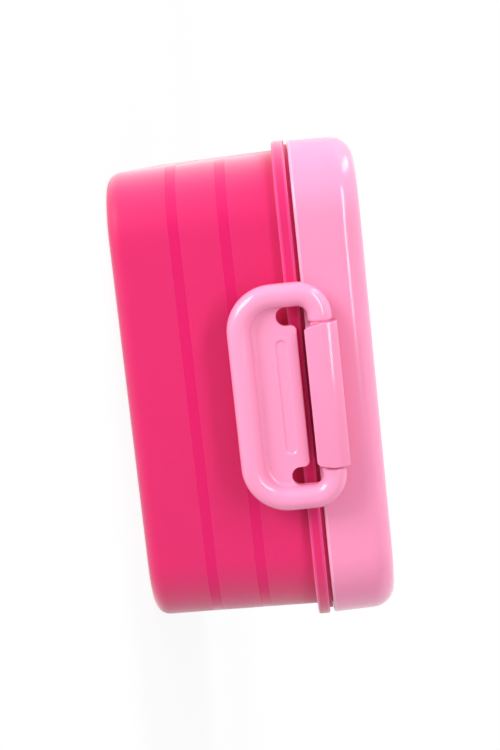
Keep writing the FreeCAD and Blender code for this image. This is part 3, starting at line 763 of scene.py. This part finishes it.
def bobbin_skins():
    """The spool's skins round its own centre: holed flanges, their rims, the hub and the bore."""
    steps = HOLES * HOLE_SEGMENTS
    face, web = BOBBIN_HALF, BOBBIN_HALF - BOBBIN_FLANGE
    roll = np.linspace(0, math.pi / 2, 5)
    out, over = BOBBIN_EDGE * np.sin(roll), BOBBIN_EDGE * (1 - np.cos(roll))
    rim = np.stack([BOBBIN_RADIUS - BOBBIN_EDGE + out, face - over], 1)
    rim = np.concatenate([rim, (rim * (1, -1) + (0, face + web))[::-1]])
    fillet = np.stack([HUB + BOBBIN_EDGE - out, web - over], 1)
    hub = np.concatenate([fillet, (fillet * (1, -1))[::-1]])
    mouth = np.stack([BORE + BOBBIN_EDGE - out, face - over], 1)
    bore = np.concatenate([[(HUB, face)], mouth, (mouth * (1, -1))[::-1], [(HUB, -face)]])
    skins = [{"grid": turned_round(profile, steps)} for profile in (rim, rim * (1, -1), hub, bore)]
    start = math.pi / HOLES
    for number in range(HOLES):
        angle = 2 * start * number + start
        cosine, sine = math.cos(angle), math.sin(angle)
        for side in (1, -1):
            grid = holed_sector(side * face, side * web)
            x, along, z = np.moveaxis(grid, 2, 0)
            turned = np.stack([x * cosine - z * sine, along, x * sine + z * cosine], 2)
            skins.append({"grid": turned})
    return skins


def clear_plastic(name, colour, rough):
    """Clear moulded plastic: light passes through, bent a little by the flow lines of the moulding, and
    handling leaves it hazy in patches."""
    material = bpy.data.materials.new(name)
    material.use_nodes = True
    nodes, links = material.node_tree.nodes, material.node_tree.links
    shader = nodes["Principled BSDF"]
    place = nodes.new("ShaderNodeTexCoord")
    haze = nodes.new("ShaderNodeTexNoise")
    haze.inputs["Scale"].default_value = 160
    haze.inputs["Detail"].default_value = 4
    links.new(place.outputs["Object"], haze.inputs["Vector"])
    gloss = nodes.new("ShaderNodeMapRange")
    gloss.inputs["From Min"].default_value = 0.35
    gloss.inputs["From Max"].default_value = 0.75
    gloss.inputs["To Min"].default_value = rough
    gloss.inputs["To Max"].default_value = rough * 3
    links.new(haze.outputs["Fac"], gloss.inputs["Value"])
    links.new(gloss.outputs["Result"], shader.inputs["Roughness"])
    tint = nodes.new("ShaderNodeMix")
    tint.data_type = "RGBA"
    tint.inputs["A"].default_value = (*colour, 1)
    tint.inputs["B"].default_value = (*[c * 0.94 for c in colour], 1)
    links.new(haze.outputs["Fac"], tint.inputs["Factor"])
    links.new(tint.outputs["Result"], shader.inputs["Base Color"])
    flow = nodes.new("ShaderNodeTexNoise")
    flow.inputs["Scale"].default_value = 420
    links.new(place.outputs["Object"], flow.inputs["Vector"])
    bump = nodes.new("ShaderNodeBump")
    bump.inputs["Distance"].default_value = 0.000004
    links.new(flow.outputs["Fac"], bump.inputs["Height"])
    links.new(bump.outputs["Normal"], shader.inputs["Normal"])
    shader.inputs["IOR"].default_value = 1.49
    shader.inputs["Transmission Weight"].default_value = 0.45
    return material


bobbin_plastic = clear_plastic("bobbin_plastic", colour=(0.93, 0.955, 0.965), rough=0.08)
spool = joined_mesh("spool", bobbin_skins())
for node, centre in zip(bobbins, bobbin_centres):
    mesh = spool.copy()
    mesh.name = node.replace("bobbin", "spool")
    mesh.transform(Matrix.Translation(centre * 0.001))
    made = piece(mesh, bobbin_plastic, "rack", [node])
    made.modifiers.new("flat_faces", "WEIGHTED_NORMAL")


# Floor, light and camera: a plain white sweep that takes the box's shadow. It shows only directly and
# through clear plastic, so the lamp below it lights the box through it. The camera stands where the
# photograph was taken from, turned on its side as the box is there. All of it is in metres.
SWEEP_HALF, SWEEP_Z, SWEEP_WHITE = 6, -0.00005, 0.88
SHADOW_REACH, GLOW_SHARE = (0.12, 0.45), (0.9, 1.0)
AMBIENT, DARK_ROOM, DARK_SIDE, DARK_REACH = 0.5, 0.15, (0.5, -0.866, 0), (0.1, 0.85)
CAMERA_PLACE, CAMERA_AIM = Vector((-0.05391, -0.39178, 0.0403)), Vector((-0.00525, -0.074, 0.02749))
CAMERA_ROLL, LENS, SENSOR = math.radians(5.82), 72, 36

floor = bpy.data.objects.new("floor", bpy.data.meshes.new("floor"))
sweep_signs = ((-1, -1), (1, -1), (1, 1), (-1, 1))
sweep_corners = [(x * SWEEP_HALF, y * SWEEP_HALF, SWEEP_Z) for x, y in sweep_signs]
floor.data.from_pydata(sweep_corners, [], [(0, 1, 2, 3)])
bpy.context.scene.collection.objects.link(floor)
floor.visible_diffuse = floor.visible_glossy = floor.visible_shadow = False


def number(nodes, links, kind, first, second, third=None):
    """A number worked out from two or three others, each a value or a socket."""
    made = nodes.new("ShaderNodeMath")
    made.operation = kind
    for place, value in zip(made.inputs, (first, second, third)):
        if isinstance(value, bpy.types.NodeSocket):
            links.new(value, place)
        elif value is not None:
            place.default_value = value
    return made.outputs[0]


def ranged(nodes, links, value, given, wanted):
    """A socket's value carried smoothly from one range to another, and held at its ends."""
    made = nodes.new("ShaderNodeMapRange")
    made.interpolation_type = "SMOOTHSTEP"
    links.new(value, made.inputs["Value"])
    for name, level in zip(("From Min", "From Max", "To Min", "To Max"), (*given, *wanted)):
        made.inputs[name].default_value = level
    return made.outputs["Result"]


white = bpy.data.materials.new("white_floor")
white.use_nodes = True
nodes, links = white.node_tree.nodes, white.node_tree.links
paper = nodes["Principled BSDF"]
paper.inputs["Base Color"].default_value = (SWEEP_WHITE, SWEEP_WHITE, SWEEP_WHITE, 1)
paper.inputs["Roughness"].default_value = 0.9
glow = nodes.new("ShaderNodeEmission")
place = nodes.new("ShaderNodeTexCoord")
distance = nodes.new("ShaderNodeVectorMath")
distance.operation = "LENGTH"
links.new(place.outputs["Object"], distance.inputs[0])
path = nodes.new("ShaderNodeLightPath")
seen = number(nodes, links, "ADD", path.outputs["Is Camera Ray"], path.outputs["Is Transmission Ray"])
share = ranged(nodes, links, distance.outputs["Value"], SHADOW_REACH, GLOW_SHARE)
blend = nodes.new("ShaderNodeMixShader")
links.new(number(nodes, links, "MULTIPLY", seen, share), blend.inputs["Fac"])
links.new(paper.outputs["BSDF"], blend.inputs[1])
links.new(glow.outputs["Emission"], blend.inputs[2])
links.new(blend.outputs["Shader"], nodes["Material Output"].inputs["Surface"])
floor.data.materials.append(white)

# The room is white to look at, lights the box evenly, and is darker in reflections on the
# photographer's side.
world = bpy.data.worlds.new("studio")
bpy.context.scene.world = world
world.use_nodes = True
nodes, links = world.node_tree.nodes, world.node_tree.links
sky = nodes["Background"]
sky.inputs["Color"].default_value = (1, 1, 1, 1)
place = nodes.new("ShaderNodeTexCoord")
toward = nodes.new("ShaderNodeVectorMath")
toward.operation = "DOT_PRODUCT"
toward.inputs[1].default_value = DARK_SIDE
links.new(place.outputs["Generated"], toward.inputs[0])
room = ranged(nodes, links, toward.outputs["Value"], DARK_REACH, (1.0, DARK_ROOM))
path = nodes.new("ShaderNodeLightPath")
seen = number(nodes, links, "ADD", path.outputs["Is Camera Ray"], path.outputs["Is Transmission Ray"])
mirrored = number(nodes, links, "MULTIPLY", path.outputs["Is Glossy Ray"], room)
unlit = number(nodes, links, "ADD", seen, path.outputs["Is Glossy Ray"])
lit = number(nodes, links, "MULTIPLY_ADD", unlit, -AMBIENT, AMBIENT)
lit_or_mirrored = number(nodes, links, "ADD", lit, mirrored)
links.new(number(nodes, links, "MAXIMUM", lit_or_mirrored, seen), sky.inputs["Strength"])


def softbox(name, place, target, width, height, power, spread=180, mirrored=True):
    """A soft rectangular lamp at a place, facing a target, in metres and watts. A spread under 180 is
    that of a honeycomb in front of it, which dims it towards its edges; one that isn't mirrored is
    bounced light, with no shape of its own to see in the gloss."""
    lamp = bpy.data.lights.new(name, "AREA")
    lamp.shape = "RECTANGLE"
    lamp.size, lamp.size_y, lamp.energy, lamp.spread = width, height, power, math.radians(spread)
    made = bpy.data.objects.new(name, lamp)
    made.location = place
    made.rotation_euler = (Vector(target) - Vector(place)).to_track_quat("-Z", "Y").to_euler()
    made.visible_glossy = mirrored
    bpy.context.scene.collection.objects.link(made)


softbox(
    "key", (-0.6, 0.25, 0.4), (0, 0, 0.03),
    width=0.45, height=0.35, power=0.36, spread=40, mirrored=False,
)
softbox("overhead", (-0.2, -0.55, 0.45), (0, -0.077, 0.045), width=0.6, height=0.1, power=2.0)
softbox("corner", (-0.53, 0.15, 0.58), (-0.05, -0.06, 0.05), width=0.5, height=0.15, power=1.2)
softbox("low", (-0.33, -0.34, -0.33), (0, -0.05, 0.03), width=0.3, height=0.3, power=2.6)
softbox(
    "right", (0.5, -0.75, 0.3), (0, -0.05, 0.03), width=0.9, height=0.6, power=0.8, mirrored=False
)
softbox("top", (-0.2, -0.1, 0.9), (0, -0.1, 0.0), width=1.0, height=1.0, power=0.3)

forward = (CAMERA_AIM - CAMERA_PLACE).normalized()
level = forward.cross(Vector((0, 0, 1))).normalized()
upright = level.cross(forward)
right = upright * math.cos(CAMERA_ROLL) + level * math.sin(CAMERA_ROLL)
lens = bpy.data.cameras.new("photo_camera")
lens.sensor_fit = "VERTICAL"
lens.sensor_height, lens.sensor_width, lens.lens = SENSOR, SENSOR, LENS
lens.clip_start, lens.clip_end = 0.01, 50
camera = bpy.data.objects.new("photo_camera", lens)
turn = Matrix((right, right.cross(forward), -forward)).transposed()
camera.matrix_world = Matrix.Translation(CAMERA_PLACE) @ turn.to_4x4()
bpy.context.scene.collection.objects.link(camera)
bpy.context.scene.camera = camera
bpy.context.scene.view_settings.view_transform = "Standard"
